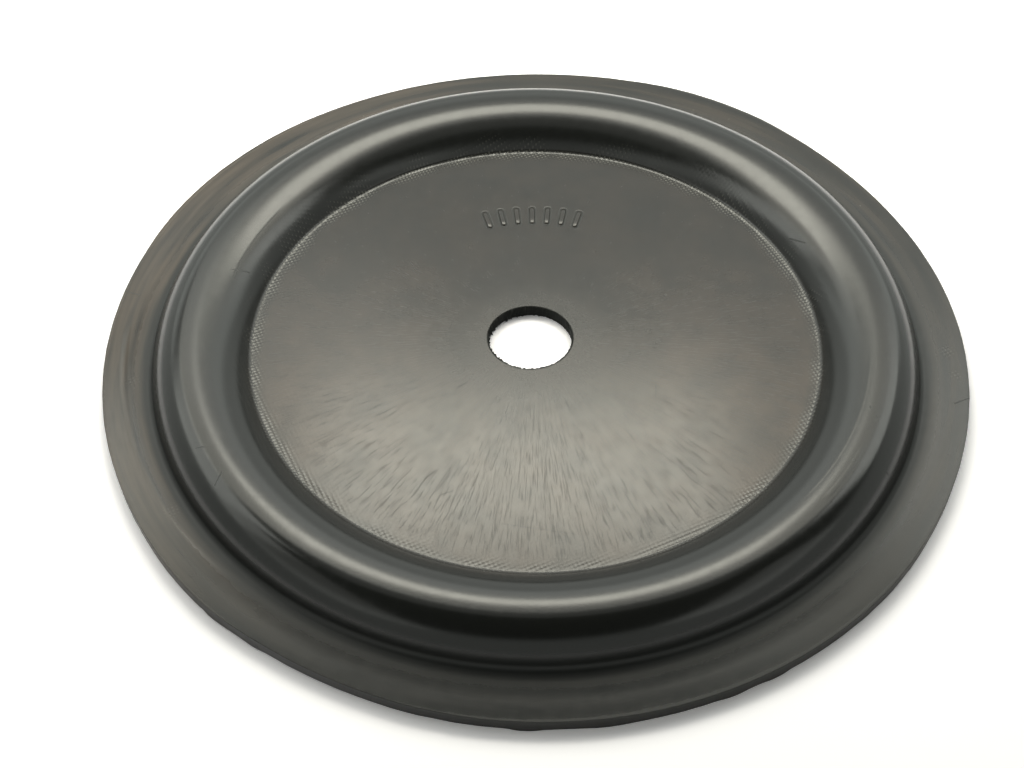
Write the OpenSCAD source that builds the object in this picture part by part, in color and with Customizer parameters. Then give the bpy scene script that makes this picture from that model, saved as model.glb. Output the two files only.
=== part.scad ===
// Rolling rubber diaphragm: one moulded sheet with a flat centre disc, a round
// convolution and a flat clamping flange. It lies on its underside, convolution up,
// with the origin on the axis at the underside and +Z up. Lengths are in millimetres.

/* [Sheet] */
// Outside diameter of the clamping flange
outside_diameter = 240; // [236:0.5:280]
// Thickness of the rubber, the same in the disc, the convolution and the flange
sheet_thickness = 3.5; // [2.5:0.1:4.5]

/* [Convolution] */
// Diameter of the circle that the crest runs on
crest_diameter = 191; // [184:0.5:196]
// Height of the crest above the underside of the sheet
crest_height = 13.2; // [11:0.1:16]
// Radius of the crest in section on the disc's side, on its upper surface
crest_inner_radius = 17.6; // [16:0.1:20]
// Radius of the crest in section on the flange's side, on its upper surface
crest_outer_radius = 11; // [9.5:0.1:12.5]
// Radius of the fillet where the centre disc turns up into the convolution
inner_fillet_radius = 1.8; // [1:0.1:4]
// Radius of the fillet where the convolution runs down into the flange
outer_fillet_radius = 2; // [1:0.1:5]

/* [Centre hole] */
// Diameter of the punched hole for the stem
hole_diameter = 24; // [8:0.5:60]

/* [Moulded mark] */
// Number of raised ribs in the mark
mark_ribs = 7; // [1:1:9]
// Radius of the circle that the middles of the ribs stand on
mark_circle_radius = 50.2; // [42:0.1:62]
// Angle from one rib to the next, in degrees
mark_pitch_angle = 5.2; // [4:0.1:8]
// Length of a rib along the radius
mark_rib_length = 7.5; // [4:0.1:10]
// Width of a rib
mark_rib_width = 1.6; // [0.8:0.1:2.4]
// Height of a rib above the disc
mark_rib_height = 0.4; // [0.2:0.05:0.8]

/* [Hidden] */
$fn = 180;

rubber_colour = [0.13, 0.13, 0.125];

outer_radius = outside_diameter / 2;
hole_radius = hole_diameter / 2;
crest_circle_radius = crest_diameter / 2;

// How far the fillet circles reach past the surfaces that they meet, so that every
// pair of curves in the section crosses instead of only touching.
blend_bite = 0.002;
// How far a cutting shape runs past the face that it opens.
cut_overrun = 1;

// The crest is two arcs that meet at its top, so both centres lie right under it. The
// disc's side comes first and the flange's side second.
crest_radii = [crest_inner_radius, crest_outer_radius];
fillet_radii = [inner_fillet_radius, outer_fillet_radius];
function crest_centre(side) = [crest_circle_radius, crest_height - crest_radii[side]];

// A fillet turns about one centre on both surfaces of the sheet, which keeps the wall
// even. The centre lies a fillet above the sheet, and touches the crest's arc.
function fillet_centre_height(side) = sheet_thickness + fillet_radii[side];
function fillet_centre_offset(side) = sqrt(
    pow(crest_radii[side] + fillet_radii[side], 2)
    - pow(fillet_centre_height(side) - crest_centre(side).y, 2)
);
function fillet_centre(side) = [
    crest_circle_radius + (side == 0 ? -1 : 1) * fillet_centre_offset(side),
    fillet_centre_height(side)
];

// Section, with x as the radius and y as the height: the space under one half of one
// surface of the convolution, down past base_height. The surface lies depth below the
// upper one.
module half_arch_section(side, depth, base_height) {
    centre = crest_centre(side);
    fillet = fillet_centre(side);
    low = min(centre.y, base_height) - cut_overrun;
    difference() {
        union() {
            intersection() {
                translate(centre)
                    circle(r = crest_radii[side] - depth);
                translate([side == 0 ? 0 : crest_circle_radius, low])
                    square([crest_circle_radius, crest_height - low + cut_overrun]);
            }
            polygon([fillet, centre, [centre.x, low], [fillet.x, low]]);
        }
        translate(fillet)
            circle(r = fillet_radii[side] + depth + blend_bite);
    }
}

// Both halves together, cut off level at base_height.
module arch_section(depth, base_height) {
    difference() {
        union() {
            half_arch_section(0, depth, base_height);
            half_arch_section(1, depth, base_height);
        }
        translate([0, base_height - 2 * crest_inner_radius])
            square([outer_radius, 2 * crest_inner_radius]);
    }
}

// The whole section: the flat sheet and the arch over it, less the hollow below.
module sheet_section() {
    difference() {
        union() {
            translate([hole_radius, 0])
                square([outer_radius - hole_radius, sheet_thickness]);
            arch_section(0, 0);
        }
        arch_section(sheet_thickness, -cut_overrun);
    }
}

// Outline of one rib, lying along the radius, with round ends.
module rib_outline() {
    straight = mark_rib_length - mark_rib_width;
    union() {
        translate([-straight / 2, -mark_rib_width / 2])
            square([straight, mark_rib_width]);
        for (end = [-1, 1])
            translate([end * straight / 2, 0])
                circle(d = mark_rib_width, $fn = 48);
    }
}

// A row of plain ribs on the far side of the disc, symmetrical about +Y. Each one
// starts at the middle of the sheet, so that it grows out of the disc in one piece.
module mould_mark() {
    first_angle = 90 - (mark_ribs - 1) / 2 * mark_pitch_angle;
    for (i = [0 : mark_ribs - 1])
        rotate([0, 0, first_angle + i * mark_pitch_angle])
            translate([mark_circle_radius, 0, sheet_thickness / 2])
                linear_extrude(height = sheet_thickness / 2 + mark_rib_height)
                    rib_outline();
}

module diaphragm() {
    color(rubber_colour)
        union() {
            rotate_extrude()
                sheet_section();
            mould_mark();
        }
}

diaphragm();
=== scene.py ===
"""A moulded rubber diaphragm lying on a pale studio floor.

The sheet is turned from its section by a Geometry Nodes tree, which also trims its rim, punches its hole and
sets the row of plain ribs on the disc. Lengths are in millimetres in this file and in metres in the scene.
"""

import logging
import math
from collections.abc import Callable, Mapping, Sequence
from dataclasses import dataclass, field
from enum import Enum
from functools import partial

import bpy
from mathutils import Matrix, Vector


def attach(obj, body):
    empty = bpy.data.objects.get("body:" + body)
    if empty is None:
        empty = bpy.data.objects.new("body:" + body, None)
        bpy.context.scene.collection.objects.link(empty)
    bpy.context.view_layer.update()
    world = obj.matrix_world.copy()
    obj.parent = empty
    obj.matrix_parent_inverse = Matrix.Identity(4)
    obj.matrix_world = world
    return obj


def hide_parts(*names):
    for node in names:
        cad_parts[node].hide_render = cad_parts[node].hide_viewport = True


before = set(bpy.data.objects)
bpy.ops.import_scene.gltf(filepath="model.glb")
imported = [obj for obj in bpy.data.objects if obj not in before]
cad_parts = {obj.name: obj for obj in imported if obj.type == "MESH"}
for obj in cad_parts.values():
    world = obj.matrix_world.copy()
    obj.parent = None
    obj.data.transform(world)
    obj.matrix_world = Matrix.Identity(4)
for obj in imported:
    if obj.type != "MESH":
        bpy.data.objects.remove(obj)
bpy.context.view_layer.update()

MM = 0.001
OUTSIDE_RADIUS = 120.0
# Points nearer than this, in millimetres, are the same point.
WELD = 0.005
log = logging.getLogger("diaphragm")

Colour = tuple[float, float, float, float]
Socket = bpy.types.NodeSocket
Tree = bpy.types.NodeTree
Inputs = bpy.types.bpy_prop_collection
Adder = Callable[..., Socket]
Pair = tuple[float, float]

# Blender's names for the kinds of node. A Map Range takes a value, the two ends of what comes in and the two
# ends of what goes out. The last two are 0 and 1 where they are left out.
MATH = "ShaderNodeMath"
VECTOR_MATH = "ShaderNodeVectorMath"
MAP_RANGE = "ShaderNodeMapRange"
FLOAT_CURVE = "ShaderNodeFloatCurve"
NOISE = "ShaderNodeTexNoise"
COMBINE = "ShaderNodeCombineXYZ"
SEPARATE = "ShaderNodeSeparateXYZ"
MIX = "ShaderNodeMix"


def srgb(hex_value: str) -> Colour:
    """Turns a colour as the eye sees it into the linear values that Blender works in.

    Args:
        hex_value: the colour as six sRGB hex digits, with or without a leading hash.

    Returns:
        Linear red, green and blue, and an alpha of one.
    """
    digits = hex_value.lstrip("#")
    channels = [int(digits[i : i + 2], 16) / 255 for i in (0, 2, 4)]
    linear = [c / 12.92 if c <= 0.04045 else ((c + 0.055) / 1.055) ** 2.4 for c in channels]
    return (linear[0], linear[1], linear[2], 1.0)


def add_node(
    tree: Tree,
    kind: str,
    inputs: Sequence[object] | Mapping[int | str, object] = (),
    output: int | str = 0,
    **settings: object,
) -> Socket:
    """Adds one node with its settings and links.

    Args:
        tree: the tree that gets the node.
        kind: Blender's name for the kind of node.
        inputs: the socket or the value for each input, in order, or by name or number.
        output: the output to hand back.
        **settings: the node's own settings, set before its inputs.

    Returns:
        The chosen output socket; its node is reached as .node.
    """
    node = tree.nodes.new(kind)
    for name, value in settings.items():
        setattr(node, name, value)
    pairs = inputs.items() if isinstance(inputs, Mapping) else enumerate(inputs)
    for key, value in pairs:
        if isinstance(value, bpy.types.NodeSocket):
            tree.links.new(value, node.inputs[key])
        else:
            node.inputs[key].default_value = value
    return node.outputs[output] if len(node.outputs) else None


def cleared(owner: bpy.types.Material | bpy.types.World) -> Adder:
    """Gives a material or a world an empty tree of nodes.

    Args:
        owner: the material or the world.

    Returns:
        The function that adds a node to the tree.
    """
    owner.use_nodes = True
    owner.node_tree.nodes.clear()
    return partial(add_node, owner.node_tree)


def set_curve(socket: Socket, points: Sequence[Pair], handle: str = "AUTO") -> Socket:
    """Lays the points of a Float Curve node, from left to right.

    Args:
        socket: the node's output.
        points: x and y of each point, both from 0 to 1.
        handle: Blender's kind of handle for every point.

    Returns:
        The same output.
    """
    curve = socket.node.mapping.curves[0]
    for x, y in points[1:-1]:
        curve.points.new(x, y)
    for point, (x, y) in zip(curve.points, points):
        point.location = (x, y)
        point.handle_type = handle
    socket.node.mapping.update()
    return socket


class Side(Enum):
    """A side of the crest, as its place in each pair of sizes."""

    DISC = 0
    FLANGE = 1

    @property
    def way(self) -> int:
        """Gives the way from the crest to this side, inwards or outwards, as -1 or 1."""
        return 1 if self is Side.FLANGE else -1


@dataclass
class SheetSection:
    """The section of the moulded sheet: the disc, the convolution and the flange, at one even thickness.

    Both surfaces of the sheet turn about the same centres, as in the part's source. The crest is pressed
    flat for 1 mm, with a tighter shoulder beyond the flat, which the highlights on it show.
    """

    outside_radius: float = OUTSIDE_RADIUS
    hole_radius: float = 11.8
    thickness: float = 3.5
    crest_circle_radii: Pair = (95.9, 96.9)
    crest_height: float = 13.2
    crest_radii: Pair = (18.0, 11.0)
    shoulder_radius: float = 7.6
    shoulder_degrees: float = 24.0
    fillet_radii: Pair = (1.8, 2.0)
    trim_round: float = 0.1
    # How many steps follow the fillet and the crest on each side, and one flat of the disc and the flange.
    fillet_steps: int = 8
    crest_steps: tuple[int, int] = (26, 23)
    disc_steps: int = 17
    flange_steps: int = 7
    # The disc's even steps start at the last of these distances from the hole, and end short of the fillet.
    hole_steps: tuple[float, ...] = (0.6, 1.2, 2.4, 4.5, 7.0)
    fillet_gap: float = 0.8
    # The flange's steps end this far from the rim, with one more point beside each trimmed corner.
    rim_gap: float = 0.7
    corner_gap: float = 0.2

    def crest_centre(self, side: Side) -> Pair:
        """Finds the centre of one crest arc.

        Args:
            side: the side of the crest. On the flange's side the arc starts beyond the shoulder.

        Returns:
            Radius and height of the centre.
        """
        if side is Side.DISC:
            return self.crest_circle_radii[0], self.crest_height - self.crest_radii[0]
        shoulder = self.shoulder_centre()
        spare = self.crest_radii[1] - self.shoulder_radius
        turn = math.radians(self.shoulder_degrees)
        return shoulder[0] - spare * math.sin(turn), shoulder[1] - spare * math.cos(turn)

    def shoulder_centre(self) -> Pair:
        """Gives the centre of the tight arc between the flat crest and the flank."""
        return self.crest_circle_radii[1], self.crest_height - self.shoulder_radius

    def fillet_centre(self, side: Side) -> Pair:
        """Finds the centre that one fillet turns about.

        Args:
            side: the side of the crest.

        Returns:
            Radius and height of the centre.
        """
        crest = self.crest_centre(side)
        height = self.thickness + self.fillet_radii[side.value]
        reach = self.crest_radii[side.value] + self.fillet_radii[side.value]
        return crest[0] + side.way * math.sqrt(reach**2 - (height - crest[1]) ** 2), height

    def surface(self, depth: float) -> list[Pair]:
        """Follows one surface of the convolution from the disc to the flange.

        Args:
            depth: how far the surface lies below the upper one.

        Returns:
            Radius and height of each point, from the inside outwards.
        """
        points = []
        for side in Side:
            way, steps = side.way, self.crest_steps[side.value]
            fillet, crest = self.fillet_centre(side), self.crest_centre(side)
            lean = math.atan2(abs(fillet[0] - crest[0]), fillet[1] - crest[1])
            turn = self.fillet_radii[side.value] + depth
            half = []
            for i in range(self.fillet_steps):
                angle = lean * i / self.fillet_steps
                half.append((fillet[0] - way * turn * math.sin(angle), fillet[1] - turn * math.cos(angle)))
            for i in range(steps + 1):
                angle = lean * (1 - i / steps)
                middle, reach = crest, self.crest_radii[side.value] - depth
                if side is Side.FLANGE and angle < math.radians(self.shoulder_degrees):
                    middle, reach = self.shoulder_centre(), self.shoulder_radius - depth
                half.append((middle[0] + way * reach * math.sin(angle), middle[1] + reach * math.cos(angle)))
            points += half[::-1] if side is Side.FLANGE else half
        return points

    def corner(self, radius: float, height: float, turn: tuple[int, int]) -> list[Pair]:
        """Rounds one trimmed corner of the section.

        Args:
            radius: the corner's radius from the axis.
            height: the corner's height.
            turn: which way the sheet lies from the corner, outwards or inwards and up or down, as -1 or 1.

        Returns:
            Points of the small arc, from the flat face to the wall.
        """
        r, (out, up) = self.trim_round, turn
        centre = (radius + out * r, height + up * r)
        angles = [math.radians(degrees) for degrees in (0, 30, 60, 90)]
        return [(centre[0] - out * r * math.sin(a), centre[1] - up * r * math.cos(a)) for a in angles]

    def outline(self) -> list[Pair]:
        """Lists the closed section, clockwise with the radius to the right: over the top and outwards.

        Returns:
            Radius and height of each point.
        """
        top, bottom = self.thickness, 0.0
        hole, rim = self.hole_radius, self.outside_radius
        upper = self.surface(0.0)
        lower = self.surface(self.thickness)
        disc = [hole + step for step in self.hole_steps]
        start, span = disc[-1], upper[0][0] - self.fillet_gap - disc[-1]
        disc += [start + span * (i + 1) / self.disc_steps for i in range(self.disc_steps)]
        start, span = upper[-1][0], rim - self.rim_gap - upper[-1][0]
        flange = [start + span * (i + 1) / self.flange_steps for i in range(self.flange_steps)]
        flange.append(rim - self.corner_gap)
        points = self.corner(hole, top, (1, -1))[::-1]
        points += [(r, top) for r in disc] + upper + [(r, top) for r in flange]
        points += self.corner(rim, top, (-1, -1))
        points += [(rim, top - self.corner_gap), (rim, bottom + self.corner_gap)]
        points += self.corner(rim, bottom, (-1, 1))[::-1]
        # The underside needs fewer steps.
        points += [(r, bottom) for r in flange[::-1][::2]] + lower[::-1][::2]
        points += [(r, bottom) for r in disc[::-1][::3]]
        points += self.corner(hole, bottom, (1, 1))
        return points + [(hole, top * 0.33), (hole, top * 0.66)]


@dataclass
class MouldMark:
    """The row of plain raised ribs on the far side of the disc, where the mould marks the part."""

    ribs: int = 7
    circle_radius: float = 50.2
    pitch_degrees: float = 5.2
    length: float = 7.5
    width: float = 1.6
    height: float = 0.4
    # How deep each rib stands in the disc.
    root: float = 0.5
    heading_degrees: float = 90.0


@dataclass
class HandTrim:
    """How far the trimmed rim and the punched hole stray from true circles, in millimetres.

    The rings hold one value every 15 degrees, anticlockwise from +X.
    """

    rim_wave: tuple[float, ...] = (
        -0.12, -0.3, -0.5, -0.1, 0.6, -0.3, -0.6, -0.4, 0.1, 0.65, 0.7, 0.27,
        0.15, -0.03, -0.2, 0.1, -0.65, -0.18, 0.24, 0.45, 0.4, 0.35, -0.15, -0.18,
    )  # fmt: skip
    rim_lift: tuple[float, ...] = (
        0.05, 0.0, 0.1, 0.3, 0.5, 0.45, 0.2, 0.05, 0.1, 0.35, 0.55, 0.3,
        0.05, 0.0, 0.0, 0.05, 0.0, 0.0, 0.0, 0.05, 0.1, 0.0, 0.0, 0.1,
    )  # fmt: skip
    # The value that the top of a ring's curve stands for.
    ring_reach: float = 2.0
    # The knife chatters too, every few millimetres. Both it and the wave fade in between these radii.
    chatter: float = 0.12
    chatter_cells: float = 26.0
    rim_band: Pair = (109.2, 119.5)
    lift_from: float = 109.0
    # Flash left at the foot of the rim: the middle of each tag in degrees, its half width and how far it
    # sticks out. It lies below this height, and no further in than this from the rim.
    flash_height: float = 0.6
    flash_depth: float = 0.5
    flash_tags: tuple[tuple[float, float, float], ...] = (
        (228.5, 1.6, 0.2),
        (234.5, 1.4, 0.25),
        (268.2, 2.2, 0.45),
        (277.5, 3.4, 0.25),
        (292.0, 1.5, 0.25),
        (297.5, 1.6, 0.3),
        (350.0, 1.5, 0.4),
    )
    # The hole lies off the centre by this much along +X, and the drift fades out between these radii.
    hole_drift: float = -1.3
    hole_band: Pair = (35.0, 12.5)
    # How far the punch tore the hole's wall, and how far the tears reach into the disc.
    hole_ragged: float = 0.75
    tear_reach: float = 0.9
    tear_cells: float = 15.0

    def ring_curve(self, values: tuple[float, ...]) -> list[Pair]:
        """Turns a ring of values into curve points, with the middle of the curve as nought.

        Args:
            values: one value every 15 degrees.

        Returns:
            Points from 0 to 1 both ways, closed on the first value.
        """
        ring = [*values, values[0]]
        return [(i / len(values), 0.5 + 0.5 * value / self.ring_reach) for i, value in enumerate(ring)]

    def flash_curve(self) -> list[Pair]:
        """Lays each flash tag as a small step on a level line, in millimetres.

        Returns:
            Points from 0 to 1 along the rim.
        """
        points = [(0.0, 0.0)]
        for middle, half, out in self.flash_tags:
            shares = ((-1.0, 0.0), (-0.6, out), (0.3, out), (1.0, 0.0))
            points += [((middle + half * side) / 360, height) for side, height in shares]
        return points + [(1.0, 0.0)]


@dataclass
class StudioCamera:
    """The camera of the photograph, fitted to the rim, the crest and the hole."""

    place: tuple[float, float, float] = (-6.56, -287.12, 313.39)
    down_degrees: float = 48.97
    roll_degrees: float = -0.52
    focal_length: float = 52.73
    sensor_width: float = 36.0

    def build(self) -> bpy.types.Object:
        """Makes the camera and gives it to the scene.

        Returns:
            The camera's object.
        """
        data = bpy.data.cameras.new("studio_camera")
        data.lens = self.focal_length
        data.sensor_width = self.sensor_width
        data.clip_start = 0.01
        data.clip_end = 20
        camera = bpy.data.objects.new("studio_camera", data)
        tilt = Matrix.Rotation(math.radians(90 - self.down_degrees), 4, "X")
        roll = Matrix.Rotation(math.radians(self.roll_degrees), 4, "Z")
        camera.matrix_world = Matrix.Translation(Vector(self.place) * MM) @ tilt @ roll
        bpy.context.scene.collection.objects.link(camera)
        bpy.context.scene.camera = camera
        return camera


@dataclass(frozen=True)
class SoftLamp:
    """One soft rectangular lamp. Its strength is the radiance of its face, where 1 is white."""

    name: str
    place: tuple[float, float, float]
    size: Pair
    radiance: float
    colour: str = "#FCFFF7"

    def build(self) -> bpy.types.Object:
        """Makes the lamp, which points straight down.

        Returns:
            The lamp's object.
        """
        data = bpy.data.lights.new(self.name, "AREA")
        data.shape = "RECTANGLE"
        data.size = self.size[0] * MM
        data.size_y = self.size[1] * MM
        data.color = srgb(self.colour)[:3]
        area = data.size * data.size_y
        data.energy = self.radiance * math.pi * area
        lamp = bpy.data.objects.new(self.name, data)
        lamp.matrix_world = Matrix.Translation(Vector(self.place) * MM)
        lamp.visible_camera = False
        bpy.context.scene.collection.objects.link(lamp)
        return lamp


@dataclass(frozen=True)
class Scratch:
    """A straight scratch from one point of the sheet to another, seen from above."""

    start: Pair
    end: Pair
    width: float = 0.35
    strength: float = 1.0


@dataclass(frozen=True)
class Ridge:
    """A low ridge along an arc of the sheet, or a groove where its height is negative."""

    centre: Pair
    radius: float
    middle_degrees: float
    half_degrees: float
    width: float
    height: float


@dataclass(frozen=True)
class Spot:
    """A round place on the sheet, seen from above."""

    centre: Pair
    radius: float


@dataclass(frozen=True)
class Whereabouts:
    """Where a point of the rubber lies, as the sockets that every pattern reads.

    The place and the radius are in millimetres, seen from above. The way is the direction from the axis, and
    the share is the radius as a share of the outside radius.
    """

    place: Socket
    radius: Socket
    way: Socket
    share: Socket

    def by_radius(self, add: Adder, values: Sequence[Pair]) -> Socket:
        """Gives a value that runs straight from each radius to the next.

        Args:
            add: adds a node to the tree.
            values: each radius in millimetres with its value, from the axis to the rim.

        Returns:
            The value.
        """
        points = [(radius / OUTSIDE_RADIUS, value) for radius, value in values]
        return set_curve(add(FLOAT_CURVE, {"Value": self.share}), points, "VECTOR")

    def distance(self, add: Adder, centre: Pair) -> Socket:
        """Measures how far a point lies from a centre, seen from above, in millimetres."""
        return add(VECTOR_MATH, [self.place, (*centre, 0.0)], "Value", operation="DISTANCE")


@dataclass(frozen=True)
class MouldedRubber:
    """Black nitrile rubber, compression moulded over a woven fabric in a polished steel mould.

    The eye sees a near-black that is told only by its gloss: a satin disc with brush marks that fan out from
    the hole and a painted warm sheen on its near half, a glossier convolution with painted shade in its
    root, a duller flange browned by bloom and by painted sheen, and the weave of the fabric printing through
    where the disc turns up into the convolution, with a painted highlight on its crowns.
    """

    mark: MouldMark
    trim: HandTrim
    name: str = "nitrile_rubber_moulded"
    black: str = "#131412"
    root_shade_black: str = "#0C0E0B"
    scuff_and_sheen_brown: str = "#493D33"
    flange_bloom_and_sheen_brown: str = "#51463B"
    crown_highlight_grey: str = "#5F5E58"
    ior: float = 1.52
    # Roughness by radius. A polished mould gives the rubber 0.15 to 0.25, and handling dulls the flange.
    gloss_by_radius: tuple[Pair, ...] = (
        (0.0, 0.25),
        (15.0, 0.25),
        (22.0, 0.19),
        (76.0, 0.19),
        (80.0, 0.24),
        (83.0, 0.2),
        (87.0, 0.18),
        (103.0, 0.17),
        (105.0, 0.22),
        (106.3, 0.42),
        (108.5, 0.45),
        (112.0, 0.2),
        (119.4, 0.17),
        (119.9, 0.4),
        (120.0, 0.4),
    )
    # Fabric of about 16 threads to the inch. Its bumps stand 1.56 mm apart in a row, and every other row is
    # shifted.
    weave_half_pitch: float = 0.78
    weave_height: float = 0.03
    weave_turn_degrees: float = 20.0
    weave_by_radius: tuple[Pair, ...] = (
        (0.0, 0.0),
        (60.0, 0.03),
        (75.0, 0.1),
        (76.8, 0.35),
        (77.8, 1.0),
        (79.3, 1.0),
        (80.2, 0.3),
        (84.0, 0.14),
        (87.5, 0.0),
        (120.0, 0.0),
    )
    # How much of a pattern shows at each radius: the brush marks and the scuffs with their painted warm
    # sheen on the disc, the wiped arcs on the flange, and the painted shade in the root between them.
    brushed_by_radius: tuple[Pair, ...] = (
        (0.0, 0.0), (14.0, 0.0), (26.0, 1.0), (73.0, 1.0), (78.0, 0.0), (120.0, 0.0),
    )  # fmt: skip
    scuff_and_sheen_by_radius: tuple[Pair, ...] = (
        (0.0, 0.35), (20.0, 0.5), (40.0, 1.0), (76.0, 1.0), (81.0, 0.0), (120.0, 0.0),
    )  # fmt: skip
    wiped_by_radius: tuple[Pair, ...] = ((0.0, 0.0), (107.5, 0.0), (109.0, 1.0), (120.0, 1.0))
    root_shade_by_radius: tuple[Pair, ...] = (
        (0.0, 0.0), (104.0, 0.0), (106.0, 1.0), (108.5, 1.0), (110.0, 0.0), (120.0, 0.0),
    )  # fmt: skip
    # The hole's wall starts between these distances from its centre.
    wall_edge: Pair = (12.35, 12.05)
    # The hollow round a rib's foot, which lies this far from the rib's side.
    foot_offset: float = 0.2
    foot_depth: float = 0.06
    # The flange rises towards the root between these radii.
    hollow_band: Pair = (115.0, 108.0)
    hollow_height: float = 0.4
    grain_height: float = 0.006
    # How far the fine brush marks waver, in cells of their noise, and their share beside the broad ones.
    waver: float = 4.0
    fine_share: float = 0.85
    # How much each kind of wear adds to the roughness, and how much blacker the brush marks are.
    mottled_duller: float = 0.05
    brushed_duller: float = 0.13
    wiped_duller: float = 0.04
    marked_duller: float = 0.3
    torn_duller: float = 0.6
    brushed_blacker: float = 0.25
    weave_spots: tuple[Spot, ...] = (
        Spot((-93.6, -59.5), 3.6),
        Spot((-110.8, -15.0), 3.2),
        Spot((114.8, -7.0), 3.4),
        Spot((115.2, -15.5), 2.6),
    )
    scratches: tuple[Scratch, ...] = (
        Scratch((-71.1, -15.9), (-65.7, -10.9), 0.45, 0.4),
        Scratch((-29.4, -49.9), (-26.6, -47.0), 0.4, 0.45),
        Scratch((-25.1, -55.1), (-22.0, -53.8), 0.4, 0.4),
        Scratch((-21.3, -18.4), (-18.6, -16.6), 0.4, 0.8),
        Scratch((49.4, 3.7), (53.4, 7.1), 0.35, 0.8),
        Scratch((32.8, -17.9), (32.5, -22.6), 0.35, 0.6),
        Scratch((48.8, -13.7), (58.1, -14.9), 0.35, 0.6),
        Scratch((-9.2, -64.4), (9.0, -67.7), 0.3, 0.25),
        Scratch((-86.4, 19.9), (-81.9, 21.0), 0.35, 1.0),
        Scratch((-85.0, 23.0), (-85.5, 16.9), 0.35, 0.7),
        Scratch((-87.8, -46.4), (-85.7, -46.2), 0.35, 0.9),
        Scratch((-81.5, -58.1), (-80.1, -54.4), 0.4, 0.8),
        Scratch((75.6, 34.5), (79.3, 30.9), 0.4, 1.0),
        Scratch((-118.2, 19.3), (-114.3, 18.0), 0.35, 0.8),
        Scratch((112.8, -26.0), (117.5, -24.0), 0.4, 1.0),
    )
    pits: tuple[Spot, ...] = (
        Spot((87.0, -34.9), 0.5),
        Spot((88.2, -38.4), 0.45),
        Spot((80.0, -52.5), 0.45),
        Spot((88.9, -54.0), 0.5),
        Spot((38.0, 16.2), 0.6),
    )
    # The crest is pressed a little flat on the right, between two faint ridges. The flange has an old crease
    # on the left, which doesn't run round the same centre.
    ridges: tuple[Ridge, ...] = (
        Ridge((0.0, 0.0), 91.6, 333.0, 20.0, 0.8, 0.03),
        Ridge((0.0, 0.0), 96.0, 324.0, 7.0, 1.0, 0.03),
        Ridge((0.0, 0.0), 88.0, 158.0, 11.0, 0.7, 0.02),
        Ridge((-5.17, 4.56), 109.93, 202.0, 26.0, 1.3, -0.09),
    )

    def build(self) -> bpy.types.Material:
        """Makes the material.

        Returns:
            The material.
        """
        material = bpy.data.materials.new(self.name)
        add = cleared(material)
        where = self.whereabouts(add)
        streaks = self.disc_streaks(add, where)
        arcs = self.flange_arcs(add, where)
        marks = self.scratch_marks(add, where)
        foot_hollow_and_shade = self.rib_foot_hollows_and_shade(add, where)
        torn = self.torn_and_shaded_wall(add, where)
        # The hollows round the ribs and the hole's wall join the scratches; the colour paints them as shade.
        marks = add(MATH, [marks, foot_hollow_and_shade], operation="MAXIMUM")
        marks = add(MATH, [marks, torn], operation="MAXIMUM")
        weave = self.weave(add, where)
        shader = add(
            "ShaderNodeBsdfPrincipled",
            {
                "Base Color": self.colour(add, where, streaks, arcs, marks, weave),
                "Roughness": self.roughness(add, where, streaks, arcs, marks, torn),
                "IOR": self.ior,
                "Normal": self.relief(add, where, weave, foot_hollow_and_shade),
            },
        )
        add("ShaderNodeOutputMaterial", {"Surface": shader})
        return material

    def whereabouts(self, add: Adder) -> Whereabouts:
        """Reads the object's own coordinates and the radius from the axis.

        Args:
            add: adds a node to the tree.

        Returns:
            Where the point lies.
        """
        own = add("ShaderNodeTexCoord", output="Object")
        place = add(VECTOR_MATH, {0: own, "Scale": 1 / MM}, operation="SCALE")
        flat = add(VECTOR_MATH, [place, (1.0, 1.0, 0.0)], operation="MULTIPLY")
        radius = add(VECTOR_MATH, [flat], "Value", operation="LENGTH")
        way = add(VECTOR_MATH, [flat], operation="NORMALIZE")
        share = add(MATH, [radius, 1 / OUTSIDE_RADIUS], operation="MULTIPLY")
        return Whereabouts(flat, radius, way, share)

    def drawn_out(self, add: Adder, where: Whereabouts, around: float, along: float, seed: float) -> Socket:
        """Gives coordinates for a noise that is drawn out along the radius or round the axis.

        Args:
            add: adds a node to the tree.
            where: the point of the rubber.
            around: cells of noise per radian round the axis.
            along: cells of noise per millimetre of radius.
            seed: a shift that keeps one pattern from following another.

        Returns:
            The coordinates.
        """
        height = add(MATH, [where.radius, along, seed], operation="MULTIPLY_ADD")
        lift = add(COMBINE, {"Z": height})
        return add(VECTOR_MATH, [where.way, (around, around, 0.0), lift], operation="MULTIPLY_ADD")

    def disc_streaks(self, add: Adder, where: Whereabouts) -> Socket:
        """Draws the brush marks that fan out over the disc from the hole.

        They are drawn about 0.2 to 0.4 mm wide and 3 to 6 mm long, in fans of 1 to 2 mm.

        Args:
            add: adds a node to the tree.
            where: the point of the rubber.

        Returns:
            How strongly a point is brushed, from 0 to 1.
        """
        fan = self.drawn_out(add, where, 34.0, 0.07, 40.7)
        broad = add(NOISE, {"Vector": fan, "Scale": 1.0, "Detail": 1.0, "Roughness": 0.5})
        # The hand wavered, which bends the fine strokes a little off the radius.
        waver = add(VECTOR_MATH, {0: (self.waver, self.waver, 0.0), "Scale": broad}, operation="SCALE")
        straight = self.drawn_out(add, where, 170.0, 0.17, 3.1)
        bent = add(VECTOR_MATH, [straight, waver], operation="ADD")
        fine = add(NOISE, {"Vector": bent, "Scale": 1.0, "Detail": 1.0, "Roughness": 0.5})
        hair = add(MAP_RANGE, [fine, 0.5, 0.68])
        spread = add(MAP_RANGE, [broad, 0.35, 0.65])
        stroke = add(MIX, {0: self.fine_share, 2: spread, 3: hair})
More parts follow.
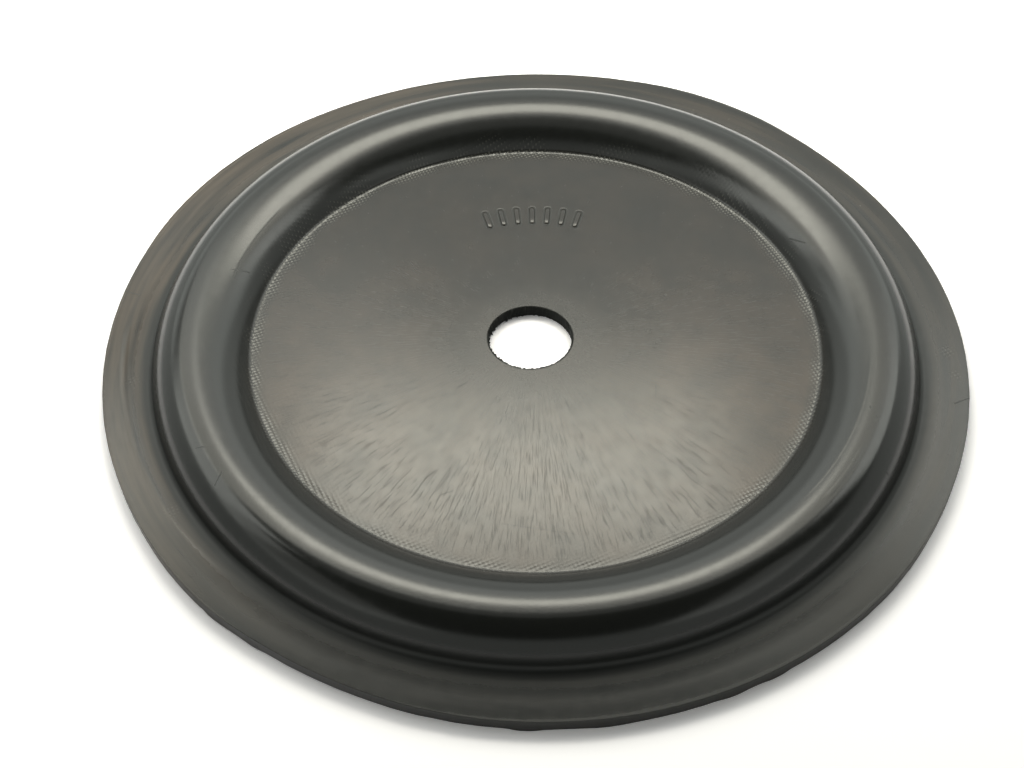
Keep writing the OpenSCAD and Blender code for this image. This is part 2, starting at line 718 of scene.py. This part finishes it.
        # The strokes are strongest on the near half and fade before the far side.
        forward = add(SEPARATE, [where.place], "Y")
        near = add(MAP_RANGE, [forward, 32.0, -18.0, 0.35], interpolation_type="SMOOTHSTEP")
        disc = where.by_radius(add, self.brushed_by_radius)
        on_disc = add(MATH, [disc, near], operation="MULTIPLY")
        return add(MATH, [stroke, on_disc], operation="MULTIPLY")

    def flange_arcs(self, add: Adder, where: Whereabouts) -> Socket:
        """Draws the soft arcs that wiping and the trimming knife leave on the flange.

        They are 20 to 60 mm long and 1 to 3 mm wide.

        Args:
            add: adds a node to the tree.
            where: the point of the rubber.

        Returns:
            How strongly a point is marked, from 0 to 1, and 0 off the flange.
        """
        wiped = self.drawn_out(add, where, 3.0, 0.35, 11.3)
        arcs = add(NOISE, {"Vector": wiped, "Scale": 1.0, "Detail": 3.0, "Roughness": 0.45})
        clear = add(MAP_RANGE, [arcs, 0.28, 0.74])
        flange = where.by_radius(add, self.wiped_by_radius)
        return add(MATH, [clear, flange], operation="MULTIPLY")

    def scratch_marks(self, add: Adder, where: Whereabouts) -> Socket:
        """Draws the single scratches and pits, each where it lies on the real part.

        Hairlines of about 0.1 mm are drawn 0.3 to 0.5 mm wide, so that they show.

        Args:
            add: adds a node to the tree.
            where: the point of the rubber.

        Returns:
            How strongly a point is scratched, from 0 to 1.
        """
        marked = None
        for scratch in self.scratches:
            run = Vector(scratch.end) - Vector(scratch.start)
            away = add(VECTOR_MATH, [where.place, (*scratch.start, 0.0)], operation="SUBTRACT")
            unit = (run.x / run.length_squared, run.y / run.length_squared, 0.0)
            along = add(VECTOR_MATH, [away, unit], "Value", operation="DOT_PRODUCT")
            held = add("ShaderNodeClamp", {"Value": along})
            nearest = add(VECTOR_MATH, {0: (run.x, run.y, 0.0), "Scale": held}, operation="SCALE")
            gap = add(VECTOR_MATH, [away, nearest], "Value", operation="DISTANCE")
            line = add(MAP_RANGE, [gap, scratch.width * 0.75, 0.0, 0.0, scratch.strength])
            marked = line if marked is None else add(MATH, [marked, line], operation="MAXIMUM")
        for pit in self.pits:
            dot = add(MAP_RANGE, [where.distance(add, pit.centre), pit.radius, 0.0])
            marked = add(MATH, [marked, dot], operation="MAXIMUM")
        return marked

    def rib_foot_hollows_and_shade(self, add: Adder, where: Whereabouts) -> Socket:
        """Finds the hollow round the foot of each rib of the mark, 0.5 mm wide at half its depth.
        The relief sinks it, and the colour paints it darker as shade round each rib.

        Args:
            add: adds a node to the tree.
            where: the point of the rubber.

        Returns:
            How near a point is to the middle of the hollow, from 0 to 1.
        """
        pitch = math.radians(self.mark.pitch_degrees)
        parts = add(SEPARATE, [where.place])
        # The angle is measured from +Y, where the middle rib stands.
        angle = add(MATH, [parts, parts.node.outputs["Y"]], operation="ARCTAN2")
        counted = add(MATH, [angle, 1 / pitch], operation="MULTIPLY")
        whole = add(MATH, [counted], operation="ROUND")
        last = (self.mark.ribs - 1) / 2
        held = add("ShaderNodeClamp", {"Value": whole, "Min": -last, "Max": last})
        aside = add(MATH, [counted, held], operation="SUBTRACT")
        aside = add(MATH, [aside, pitch * self.mark.circle_radius], operation="MULTIPLY")
        along = add(MATH, [where.radius, self.mark.circle_radius], operation="SUBTRACT")
        along = add(MATH, [along], operation="ABSOLUTE")
        straight = (self.mark.length - self.mark.width) / 2
        along = add(MATH, [along, straight], operation="SUBTRACT")
        along = add(MATH, [along, 0.0], operation="MAXIMUM")
        reach = add(COMBINE, [aside, along])
        reach = add(VECTOR_MATH, [reach], "Value", operation="LENGTH")
        gap = add(MATH, [reach, self.mark.width / 2 + self.foot_offset], operation="SUBTRACT")
        gap = add(MATH, [gap], operation="ABSOLUTE")
        return add(MAP_RANGE, [gap, 0.45, 0.05], interpolation_type="SMOOTHSTEP")

    def torn_and_shaded_wall(self, add: Adder, where: Whereabouts) -> Socket:
        """Marks the wall of the punched hole: rough from the cut fabric, and painted black as shade.

        Args:
            add: adds a node to the tree.
            where: the point of the rubber.

        Returns:
            1 on the wall and 0 beyond its edge.
        """
        return add(MAP_RANGE, [where.distance(add, (self.trim.hole_drift, 0.0)), *self.wall_edge])

    def colour(
        self, add: Adder, where: Whereabouts, streaks: Socket, arcs: Socket, marks: Socket, weave: Socket
    ) -> Socket:
        """Lays brown scuffs and bloom over the black, with painted sheen, painted highlight and painted
        shade.

        Args:
            add: adds a node to the tree.
            where: the point of the rubber.
            streaks: the brush marks on the disc.
            arcs: the arcs on the flange.
            marks: the single scratches, with the painted shade round the ribs and in the hole.
            weave: the fabric that prints through.

        Returns:
            The base colour.
        """
        # Scuffed patches on the disc are 5 to 20 mm across. The same brown is a painted warm sheen,
        # strongest on the near half, where the disc mirrors the warm lamps.
        cloud = add(NOISE, {"Vector": where.place, "Scale": 0.07, "Detail": 4.0, "Roughness": 0.6})
        patch = add(MAP_RANGE, [cloud, 0.34, 0.64, 0.45])
        disc = where.by_radius(add, self.scuff_and_sheen_by_radius)
        forward = add(SEPARATE, [where.place], "Y")
        near_sheen = add(MAP_RANGE, [forward, 45.0, -45.0, 0.3], interpolation_type="SMOOTHSTEP")
        scuff_and_sheen = add(MATH, [patch, disc], operation="MULTIPLY")
        scuff_and_sheen = add(MATH, [scuff_and_sheen, near_sheen], operation="MULTIPLY")
        darker = [streaks, -self.brushed_blacker, scuff_and_sheen]
        scuff_and_sheen = add(MATH, darker, operation="MULTIPLY_ADD", use_clamp=True)
        # The brush marks take back a little of the scuff brown and its painted sheen; the mix below carries
        # both.
        rubber, brown = srgb(self.black), srgb(self.scuff_and_sheen_brown)
        worn = add(MIX, {0: scuff_and_sheen, 6: rubber, 7: brown}, output=2, data_type="RGBA")
        # The weave's crowns are painted pale, as a painted highlight on the tops of its bumps.
        crowns = add(MAP_RANGE, [weave, 0.1, 0.75])
        worn = add(MIX, {0: crowns, 6: worn, 7: srgb(self.crown_highlight_grey)}, output=2, data_type="RGBA")
        # Bloom browns the flange along its wiped arcs, and a painted sheen makes it paler most on the left
        # and least on the near side.
        parts = add(SEPARATE, [where.way])
        left_sheen = add(MAP_RANGE, [parts, 0.2, -0.95, 0.4], interpolation_type="SMOOTHSTEP")
        forward = parts.node.outputs["Y"]
        near_side_dimmed = add(MAP_RANGE, [forward, -0.95, -0.4, 0.1], interpolation_type="SMOOTHSTEP")
        bloom = add(MATH, [left_sheen, near_side_dimmed], operation="MULTIPLY")
        bloom = add(MATH, [bloom, arcs], operation="MULTIPLY")
        flange = add(MIX, {0: bloom, 6: worn, 7: srgb(self.flange_bloom_and_sheen_brown)}, output=2, data_type="RGBA")
        # Painted shade blackens the root of the convolution, the hollows round the ribs and the hole's wall,
        # and the scratches and pits are darkened with them.
        root = where.by_radius(add, self.root_shade_by_radius)
        dark = add(MATH, [root, marks], operation="MAXIMUM")
        return add(MIX, {0: dark, 6: flange, 7: srgb(self.root_shade_black)}, output=2, data_type="RGBA")

    def roughness(
        self, add: Adder, where: Whereabouts, streaks: Socket, arcs: Socket, marks: Socket, torn: Socket
    ) -> Socket:
        """Sets the gloss of each part of the section, and dulls it where it is worn.

        Args:
            add: adds a node to the tree.
            where: the point of the rubber.
            streaks: the brush marks on the disc.
            arcs: the arcs on the flange.
            marks: the single scratches and other dark lines.
            torn: the wall of the punched hole.

        Returns:
            The roughness.
        """
        base = where.by_radius(add, self.gloss_by_radius)
        # Handling leaves soft mottling about 3 mm across.
        mottle = add(NOISE, {"Vector": where.place, "Scale": 0.33, "Detail": 4.0, "Roughness": 0.6})
        mottled = add(MAP_RANGE, [mottle, 0.3, 0.7, 0.0, self.mottled_duller])
        rough = add(MATH, [base, mottled], operation="ADD")
        rough = add(MATH, [streaks, self.brushed_duller, rough], operation="MULTIPLY_ADD")
        rough = add(MATH, [arcs, self.wiped_duller, rough], operation="MULTIPLY_ADD")
        rough = add(MATH, [marks, self.marked_duller, rough], operation="MULTIPLY_ADD")
        return add(MATH, [torn, self.torn_duller, rough], operation="MULTIPLY_ADD", use_clamp=True)

    def weave(self, add: Adder, where: Whereabouts) -> Socket:
        """Prints the fabric through the rubber, where it lies nearest the surface.

        Args:
            add: adds a node to the tree.
            where: the point of the rubber.

        Returns:
            The weave's crowns and hollows, from 1 to -1.
        """
        turn = math.pi / self.weave_half_pitch
        angle = math.radians(self.weave_turn_degrees)
        cloth = {"Vector": where.place, "Angle": angle}
        laid = add("ShaderNodeVectorRotate", cloth, rotation_type="Z_AXIS")
        phase = add(VECTOR_MATH, {0: laid, "Scale": turn}, operation="SCALE")
        waves = add(SEPARATE, [add(VECTOR_MATH, [phase], operation="SINE")])
        bumps = add(MATH, [waves, waves.node.outputs["Y"]], operation="MULTIPLY")
        mask = where.by_radius(add, self.weave_by_radius)
        # The bumps are weaker on the near side, and so is their painted highlight.
        kept = add(MAP_RANGE, [add(SEPARATE, [where.way], "Y"), -0.95, -0.6, 0.45])
        mask = add(MATH, [mask, kept], operation="MULTIPLY")
        # It comes and goes in patches of about 8 mm.
        patchy = add(NOISE, {"Vector": where.place, "Scale": 0.12, "Detail": 0.0})
        patchy = add(MAP_RANGE, [patchy, 0.36, 0.6, 0.3])
        mask = add(MATH, [mask, patchy], operation="MULTIPLY")
        # At four spots the weave, with its painted highlight, shows more strongly.
        for spot in self.weave_spots:
            gap = where.distance(add, spot.centre)
            near = add(MAP_RANGE, [gap, spot.radius, spot.radius * 0.3, 0.0, 0.4])
            mask = add(MATH, [mask, near], operation="MAXIMUM")
        return add(MATH, [bumps, mask], operation="MULTIPLY")

    def relief(self, add: Adder, where: Whereabouts, weave: Socket, foot_hollow_and_shade: Socket) -> Socket:
        """Adds up the weave, the grain and the ridges, and turns their height into the normal.

        Args:
            add: adds a node to the tree.
            where: the point of the rubber.
            weave: the fabric that prints through.
            foot_hollow_and_shade: the hollows round the ribs of the mark.

        Returns:
            The normal.
        """
        height = add(MATH, [weave, self.weave_height], operation="MULTIPLY")
        height = add(MATH, [foot_hollow_and_shade, -self.foot_depth, height], operation="MULTIPLY_ADD")
        # The flange runs up to the root in a shallow hollow, less than half a millimetre deep.
        inward = add(MAP_RANGE, [where.radius, *self.hollow_band])
        risen = add(MATH, [inward, 2.0], operation="POWER")
        height = add(MATH, [risen, self.hollow_height, height], operation="MULTIPLY_ADD")
        # The skin of the rubber has a fine grain, drawn at about 0.6 mm.
        grain = add(NOISE, {"Vector": where.place, "Scale": 1.7, "Detail": 1.0})
        height = add(MATH, [grain, self.grain_height, height], operation="MULTIPLY_ADD")
        for ridge in self.ridges:
            off = add(MATH, [where.distance(add, ridge.centre), ridge.radius], operation="SUBTRACT")
            off = add(MATH, [off], operation="ABSOLUTE")
            profile = [off, ridge.width, 0.0, 0.0, ridge.height]
            across = add(MAP_RANGE, profile, interpolation_type="SMOOTHERSTEP")
            # The ridge fades out over the last part of its length.
            middle, half = math.radians(ridge.middle_degrees), math.radians(ridge.half_degrees)
            heading = (math.cos(middle), math.sin(middle), 0.0)
            facing = add(VECTOR_MATH, [where.way, heading], "Value", operation="DOT_PRODUCT")
            ends = [facing, math.cos(half), math.cos(half * 0.6)]
            within = add(MAP_RANGE, ends, interpolation_type="SMOOTHSTEP")
            height = add(MATH, [across, within, height], operation="MULTIPLY_ADD")
        return add("ShaderNodeBump", {"Strength": 1.0, "Distance": MM, "Height": height})


@dataclass
class Diaphragm:
    """The whole part: one turned rubber sheet with its mark."""

    section: SheetSection = field(default_factory=SheetSection)
    mark: MouldMark = field(default_factory=MouldMark)
    trim: HandTrim = field(default_factory=HandTrim)
    steps_around: int = 560

    def section_mesh(self) -> bpy.types.Object:
        """Lays the section out as a string of points in the XZ plane, for the tree to read.

        Returns:
            The object that holds them.
        """
        points = [(r * MM, 0.0, z * MM) for r, z in self.section.outline()]
        mesh = bpy.data.meshes.new("section")
        mesh.from_pydata(points, [(i, (i + 1) % len(points)) for i in range(len(points))], [])
        holder = bpy.data.objects.new("diaphragm_sheet", mesh)
        bpy.context.scene.collection.objects.link(holder)
        return holder

    def sizes(self, section_points: int, material: bpy.types.Material) -> dict[str, object]:
        """Lists the tree's inputs after the section.

        Args:
            section_points: how many points the section has.
            material: the rubber.

        Returns:
            The value of each input, with lengths in metres and angles in radians.
        """
        return {
            "Section points": section_points,
            "Steps around": self.steps_around,
            "Outside radius": self.section.outside_radius * MM,
            "Hole radius": self.section.hole_radius * MM,
            "Hole drift": self.trim.hole_drift * MM,
            "Hole ragged": self.trim.hole_ragged * MM,
            "Ribs": self.mark.ribs,
            "Rib circle radius": self.mark.circle_radius * MM,
            "Rib pitch": math.radians(self.mark.pitch_degrees),
            "Rib length": self.mark.length * MM,
            "Rib width": self.mark.width * MM,
            "Rib height": self.mark.height * MM,
            "Rib root": self.mark.root * MM,
            "Sheet thickness": self.section.thickness * MM,
            "Rubber": material,
        }

    def tree(self, sizes: dict[str, object]) -> Tree:
        """Builds the Geometry Nodes tree that turns the sheet and sets the ribs on it.

        Args:
            sizes: the value of each input after the section.

        Returns:
            The tree.
        """
        tree = bpy.data.node_groups.new("turned_sheet", "GeometryNodeTree")
        add = partial(add_node, tree)
        kinds = {int: "NodeSocketInt", float: "NodeSocketFloat", bpy.types.Material: "NodeSocketMaterial"}
        face = tree.interface
        face.new_socket("Section", in_out="INPUT", socket_type="NodeSocketGeometry")
        for name, value in sizes.items():
            face.new_socket(name, in_out="INPUT", socket_type=kinds[type(value)])
        face.new_socket("Sheet", in_out="OUTPUT", socket_type="NodeSocketGeometry")
        given = tree.nodes.new("NodeGroupInput").outputs
        sheet = self.turned_sheet(add, given)
        ribs = self.mark_ribs(add, given)
        joined = add("GeometryNodeJoinGeometry")
        tree.links.new(sheet, joined.node.inputs[0])
        tree.links.new(ribs, joined.node.inputs[0])
        real = add("GeometryNodeRealizeInstances", [joined])
        smooth = add("GeometryNodeSetShadeSmooth", {"Geometry": real, "Shade Smooth": True})
        dressed = add("GeometryNodeSetMaterial", {"Geometry": smooth, "Material": given["Rubber"]})
        add("NodeGroupOutput", [dressed])
        return tree

    def turned_sheet(self, add: Adder, given: Inputs) -> Socket:
        """Turns the section round the axis, then trims the rim and punches the hole as a hand does.

        Args:
            add: adds a node to the tree.
            given: the tree's named inputs.

        Returns:
            The sheet.
        """
        rows = add(MATH, [given["Section points"], 1.0], operation="ADD")
        columns = add(MATH, [given["Steps around"], 1.0], operation="ADD")
        grid = add("GeometryNodeMeshGrid", {"Vertices X": rows, "Vertices Y": columns})
        # Each row of the grid is one point of the section, and each column one step of the turn.
        index = add("GeometryNodeInputIndex")
        shifted = add(MATH, [index, 0.5], operation="ADD")
        counted = add(MATH, [shifted, columns], operation="DIVIDE")
        row = add(MATH, [counted], operation="FLOOR")
        passed = add(MATH, [row, columns], operation="MULTIPLY")
        column = add(MATH, [index, passed], operation="SUBTRACT")
        point = add(MATH, [row, given["Section points"]], operation="MODULO")
        source = {"Geometry": given["Section"], "Value": add("GeometryNodeInputPosition"), "Index": point}
        on_section = add("GeometryNodeSampleIndex", source, data_type="FLOAT_VECTOR")
        parts = add(SEPARATE, [on_section])
        radius, height = parts, parts.node.outputs["Z"]
        step = add(MATH, [column, given["Steps around"]], operation="MODULO")
        turn = add(MATH, [step, given["Steps around"]], operation="DIVIDE")
        angle = add(MATH, [turn, math.tau], operation="MULTIPLY")
        cosine = add(MATH, [angle], operation="COSINE")
        sine = add(MATH, [angle], operation="SINE")

        trimmed = self.trimmed_radius(add, given, radius, height, turn, (cosine, sine))
        lifted = self.lifted_height(add, given, radius, height, turn)
        band = [bound * MM for bound in self.trim.hole_band]
        near_hole = add(MAP_RANGE, [radius, *band], interpolation_type="SMOOTHSTEP")
        drift = add(MATH, [near_hole, given["Hole drift"]], operation="MULTIPLY")
        across = add(MATH, [trimmed, cosine, drift], operation="MULTIPLY_ADD")
        along = add(MATH, [trimmed, sine], operation="MULTIPLY")
        placed = add(COMBINE, [across, along, lifted])
        turned = add("GeometryNodeSetPosition", {"Geometry": grid, "Position": placed})
        return add("GeometryNodeMergeByDistance", {"Geometry": turned, "Distance": WELD * MM})

    def trimmed_radius(
        self,
        add: Adder,
        given: Inputs,
        radius: Socket,
        height: Socket,
        turn: Socket,
        way: tuple[Socket, Socket],
    ) -> Socket:
        """Lets the rim wander as it was cut, leaves flash at its foot and tears the hole's edge a little.

        Args:
            add: adds a node to the tree.
            given: the tree's named inputs.
            radius: the true radius of a point.
            height: its height.
            turn: its turn round the axis, from 0 to 1.
            way: the cosine and sine of that turn.

        Returns:
            The radius to use.
        """
        wave = set_curve(add(FLOAT_CURVE, {"Value": turn}), self.trim.ring_curve(self.trim.rim_wave))
        reach, shake = self.trim.ring_reach * MM, self.trim.chatter * MM
        wave = add(MAP_RANGE, [wave, 0.0, 1.0, -reach, reach])
        round_rim = add(COMBINE, [way[0], way[1]])
        chatter = add(NOISE, {"Vector": round_rim, "Scale": self.trim.chatter_cells, "Detail": 2.0})
        chatter = add(MAP_RANGE, [chatter, 0.0, 1.0, -shake, shake])
        wave = add(MATH, [wave, chatter], operation="ADD")
        band = [bound * MM for bound in self.trim.rim_band]
        near_rim = add(MAP_RANGE, [radius, *band], interpolation_type="SMOOTHSTEP")
        trimmed = add(MATH, [wave, near_rim, radius], operation="MULTIPLY_ADD")

        flash = set_curve(add(FLOAT_CURVE, {"Value": turn}), self.trim.flash_curve(), "VECTOR")
        inside_rim = add(MATH, [given["Outside radius"], self.trim.flash_depth * MM], operation="SUBTRACT")
        rim_only = add(MATH, [radius, inside_rim], operation="GREATER_THAN")
        foot = add(MATH, [height, self.trim.flash_height * MM], operation="LESS_THAN")
        flash = add(MATH, [flash, rim_only], operation="MULTIPLY")
        flash = add(MATH, [flash, foot], operation="MULTIPLY")
        trimmed = add(MATH, [flash, MM, trimmed], operation="MULTIPLY_ADD")

        # The punch tore the hole's wall in steps of about 1 mm.
        level = add(MATH, [height, 60.0], operation="MULTIPLY")
        round_hole = add(COMBINE, [way[0], way[1], level])
        steps = {"Vector": round_hole, "Scale": self.trim.tear_cells, "Detail": 3.0, "Roughness": 0.65}
        torn = add(NOISE, steps)
        torn = add(MAP_RANGE, [torn, 0.25, 0.75, -1.0])
        torn = add(MATH, [torn, given["Hole ragged"]], operation="MULTIPLY")
        hole_edge = add(MATH, [given["Hole radius"], self.trim.tear_reach * MM], operation="ADD")
        at_hole = add(MAP_RANGE, [radius, hole_edge, given["Hole radius"]])
        # The tears are deepest on the left and the far side.
        rough_side = add(MAP_RANGE, [way[0], 0.6, -0.5, 0.35])
        torn = add(MATH, [torn, rough_side], operation="MULTIPLY")
        return add(MATH, [torn, at_hole, trimmed], operation="MULTIPLY_ADD")

    def lifted_height(
        self, add: Adder, given: Inputs, radius: Socket, height: Socket, turn: Socket
    ) -> Socket:
        """Lifts the flange off the floor where the real one doesn't lie quite flat.

        Args:
            add: adds a node to the tree.
            given: the tree's named inputs.
            radius: the true radius of a point.
            height: its height.
            turn: its turn round the axis, from 0 to 1.

        Returns:
            The height to use.
        """
        lift = set_curve(add(FLOAT_CURVE, {"Value": turn}), self.trim.ring_curve(self.trim.rim_lift))
        lift = add(MAP_RANGE, [lift, 0.5, 1.0, 0.0, self.trim.ring_reach * MM])
        outward = add(MAP_RANGE, [radius, self.trim.lift_from * MM, given["Outside radius"]])
        return add(MATH, [lift, outward, height], operation="MULTIPLY_ADD")

    def mark_ribs(self, add: Adder, given: Inputs) -> Socket:
        """Shapes one rib with round ends and a soft edge, and sets the row of them on its arc.

        Args:
            add: adds a node to the tree.
            given: the tree's named inputs.

        Returns:
            The ribs, as instances.
        """
        points = {"Vertices X": 23, "Vertices Y": 7, "Vertices Z": 5}
        block = add("GeometryNodeMeshCube", {"Size": (2.0, 2.0, 2.0), **points})
        place = add(SEPARATE, [add("GeometryNodeInputPosition")])
        u, v, w = place.node.outputs
        half_length = add(MATH, [given["Rib length"], 0.5], operation="MULTIPLY")
        half_width = add(MATH, [given["Rib width"], 0.5], operation="MULTIPLY")
        spread = add(MATH, [u, math.pi / 2], operation="MULTIPLY")
        spread = add(MATH, [spread], operation="SINE")
        lengthways = add(MATH, [spread, half_length], operation="MULTIPLY")
        straight = add(MATH, [half_length, half_width], operation="SUBTRACT")
        reach = add(MATH, [lengthways], operation="ABSOLUTE")
        into_end = add(MATH, [reach, straight], operation="SUBTRACT")
        into_end = add(MATH, [into_end, 0.0], operation="MAXIMUM")
        into_end = add(MATH, [into_end, half_width], operation="DIVIDE")
        squared = add(MATH, [into_end, 2.0], operation="POWER")
        left = add(MATH, [1.0, squared], operation="SUBTRACT", use_clamp=True)
        roundness = add(MATH, [left], operation="SQRT")
        level = add(MATH, [w, 0.5, 0.5], operation="MULTIPLY_ADD")
        soft_edge = set_curve(
            add(FLOAT_CURVE, {"Value": level}),
            [(0.0, 1.0), (0.25, 1.0), (0.5, 0.96), (0.75, 0.78), (1.0, 0.5)],
            "VECTOR",
        )
        rise = set_curve(
            add(FLOAT_CURVE, {"Value": level}),
            [(0.0, 0.0), (0.25, 0.5), (0.5, 0.7), (0.75, 0.91), (1.0, 1.0)],
            "VECTOR",
        )
        sideways = add(MATH, [v, half_width], operation="MULTIPLY")
        sideways = add(MATH, [sideways, roundness], operation="MULTIPLY")
        sideways = add(MATH, [sideways, soft_edge], operation="MULTIPLY")
        lengthways = add(MATH, [lengthways, soft_edge], operation="MULTIPLY")
        whole = add(MATH, [given["Rib height"], given["Rib root"]], operation="ADD")
        upward = add(MATH, [rise, whole], operation="MULTIPLY")
        upward = add(MATH, [upward, given["Rib root"]], operation="SUBTRACT")
        shaped = add(COMBINE, [lengthways, sideways, upward])
        rib = add("GeometryNodeSetPosition", {"Geometry": block, "Position": shaped})
        rib = add("GeometryNodeMergeByDistance", {"Geometry": rib, "Distance": WELD * MM})

        line = add("GeometryNodeMeshLine", {"Count": given["Ribs"]})
        index = add("GeometryNodeInputIndex")
        last = add(MATH, [given["Ribs"], 1.0], operation="SUBTRACT")
        middle = add(MATH, [last, 0.5], operation="MULTIPLY")
        swing = add(MATH, [index, middle], operation="SUBTRACT")
        heading = math.radians(self.mark.heading_degrees)
        angle = add(MATH, [swing, given["Rib pitch"], heading], operation="MULTIPLY_ADD")
        cosine = add(MATH, [angle], operation="COSINE")
        sine = add(MATH, [angle], operation="SINE")
        way = add(COMBINE, [cosine, sine])
        spot = add(VECTOR_MATH, {0: way, "Scale": given["Rib circle radius"]}, operation="SCALE")
        stand = add(COMBINE, {"Z": given["Sheet thickness"]})
        spot = add(VECTOR_MATH, [spot, stand], operation="ADD")
        spots = add("GeometryNodeSetPosition", {"Geometry": line, "Position": spot})
        facing = add("FunctionNodeEulerToRotation", [add(COMBINE, {"Z": angle})])
        return add("GeometryNodeInstanceOnPoints", {"Points": spots, "Instance": rib, "Rotation": facing})

    def build(self, material: bpy.types.Material) -> bpy.types.Object:
        """Turns the section into the finished sheet as a plain mesh.

        Args:
            material: the rubber.

        Returns:
            The sheet, riding on the frame.
        """
        holder = self.section_mesh()
        sizes = self.sizes(len(holder.data.vertices), material)
        modifier = holder.modifiers.new("turned_sheet", "NODES")
        modifier.node_group = self.tree(sizes)
        for item in modifier.node_group.interface.items_tree:
            if item.in_out == "INPUT" and item.name in sizes:
                modifier[item.identifier] = sizes[item.name]
        evaluated = holder.evaluated_get(bpy.context.evaluated_depsgraph_get())
        mesh = bpy.data.meshes.new_from_object(evaluated)
        mesh.name = "diaphragm_sheet"
        holder.modifiers.clear()
        holder.data = mesh
        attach(holder, "root")
        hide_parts("diaphragm")
        return holder


@dataclass(frozen=True)
class StudioPaper:
    """Smooth white background paper, uncoated, which the eye sees as plain white.

    The camera and reflections see it paler than the light that it scatters, as in an overexposed studio
    picture, and it keeps every shadow.
    """

    name: str = "white_paper_sweep"
    white: str = "#F4F3F1"
    seen_brighter: float = 1.42
    reflected_brighter: float = 1.3
    seen_tint: tuple[float, float, float] = (1.0, 0.978, 1.03)

    def build(self) -> bpy.types.Material:
        """Makes the material.

        Returns:
            The material.
        """
        material = bpy.data.materials.new(self.name)
        add = cleared(material)
        path = add("ShaderNodeLightPath", output="Is Camera Ray")
        outputs = path.node.outputs
        rays = [outputs["Is Glossy Ray"], outputs["Is Transmission Ray"]]
        mirrored = add(MATH, rays, operation="MAXIMUM")
        shader = add("ShaderNodeBsdfDiffuse", {"Color": srgb(self.white)})
        for seen, gain in ((path, self.seen_brighter), (mirrored, self.reflected_brighter)):
            pale = [channel * gain * tint for channel, tint in zip(srgb(self.white), self.seen_tint)]
            bright = add("ShaderNodeBsdfDiffuse", {"Color": (*pale, 1.0)})
            shader = add("ShaderNodeMixShader", [seen, shader, bright])
        add("ShaderNodeOutputMaterial", {"Surface": shader})
        return material


@dataclass
class Studio:
    """The pale floor, the world and the soft lamps."""

    floor_half_width: float = 3000.0
    # The floor lies this far below the part, so that the two don't share a face.
    floor_gap: float = 0.1
    lamps: tuple[SoftLamp, ...] = (
        SoftLamp("key_softbox", (-4, 182, 300), (212, 104), 6.7, "#FFFEEF"),
        SoftLamp("key_spill", (-20, 184, 304), (410, 150), 2.5, "#FFFEF0"),
        SoftLamp("key_back", (0, 305, 304), (460, 92), 1.65),
        SoftLamp("key_left", (-135, 285, 308), (130, 110), 0.9),
        SoftLamp("key_front", (0, 95, 304), (300, 28), 1.6),
        SoftLamp("front_fill", (0, 20, 304), (300, 120), 0.35),
        SoftLamp("far_ceiling", (0, 460, 300), (1150, 218), 1.12, "#F9FFF8"),
        SoftLamp("left_window", (-345, 120, 300), (290, 250), 2.8),
        SoftLamp("right_window", (295, 165, 300), (210, 200), 3.2),
        SoftLamp("right_back", (330, 320, 300), (200, 110), 1.8),
        SoftLamp("left_fill", (-400, -50, 300), (260, 90), 1.5),
        SoftLamp("camera_left", (-400, -320, 300), (320, 440), 0.5),
        SoftLamp("camera_right", (410, -300, 300), (300, 400), 0.6),
    )
    wall_radiance: float = 0.5
    back_wall_radiance: float = 1.0
    ceiling_radiance: float = 0.06
    room_tint: str = "#FAFFF8"

    def build(self) -> None:
        """Makes the floor, the world and the lamps."""
        half = self.floor_half_width * MM
        mesh = bpy.data.meshes.new("studio_floor")
        corners = [(-half, -half, 0), (half, -half, 0), (half, half, 0), (-half, half, 0)]
        mesh.from_pydata(corners, [], [(0, 1, 2, 3)])
        floor = bpy.data.objects.new("studio_floor", mesh)
        floor.location.z = -self.floor_gap * MM
        bpy.context.scene.collection.objects.link(floor)
        mesh.materials.append(StudioPaper().build())
        bpy.context.scene.world = self.room()
        for lamp in self.lamps:
            lamp.build()

    def room(self) -> bpy.types.World:
        """Makes the room round the table: pale walls, brightest behind, and a dim ceiling beyond the lamps.

        Returns:
            The world.
        """
        world = bpy.data.worlds.new("studio_world")
        add = cleared(world)
        path = add("ShaderNodeLightPath", output="Is Camera Ray")
        heading = add(SEPARATE, [add("ShaderNodeTexCoord", output="Generated")])
        backward, upward = heading.node.outputs["Y"], heading.node.outputs["Z"]
        walls = [backward, -0.2, 0.9, self.wall_radiance, self.back_wall_radiance]
        behind = add(MAP_RANGE, walls, interpolation_type="SMOOTHSTEP")
        overhead = add(MAP_RANGE, [upward, 0.5, 0.7, 1.0, 0.0], interpolation_type="SMOOTHSTEP")
        radiance = add(MATH, [behind, overhead, self.ceiling_radiance], operation="MULTIPLY_ADD")
        soft = add("ShaderNodeBackground", {"Color": srgb(self.room_tint), "Strength": radiance})
        white = add("ShaderNodeBackground", {"Color": srgb("#FFFFFF"), "Strength": 1.0})
        mixed = add("ShaderNodeMixShader", [path, soft, white])
        add("ShaderNodeOutputWorld", {"Surface": mixed})
        return world


def main() -> None:
    """Builds the camera, the studio and the part."""
    logging.basicConfig(level=logging.INFO, format="%(name)s: %(message)s")
    scene = bpy.context.scene
    scene.view_settings.view_transform = "Standard"
    StudioCamera().build()
    Studio().build()
    diaphragm = Diaphragm()
    sheet = diaphragm.build(MouldedRubber(diaphragm.mark, diaphragm.trim).build())
    log.info("%s: %d vertices, %d faces", sheet.name, len(sheet.data.vertices), len(sheet.data.polygons))


if __name__ == "__main__":
    main()
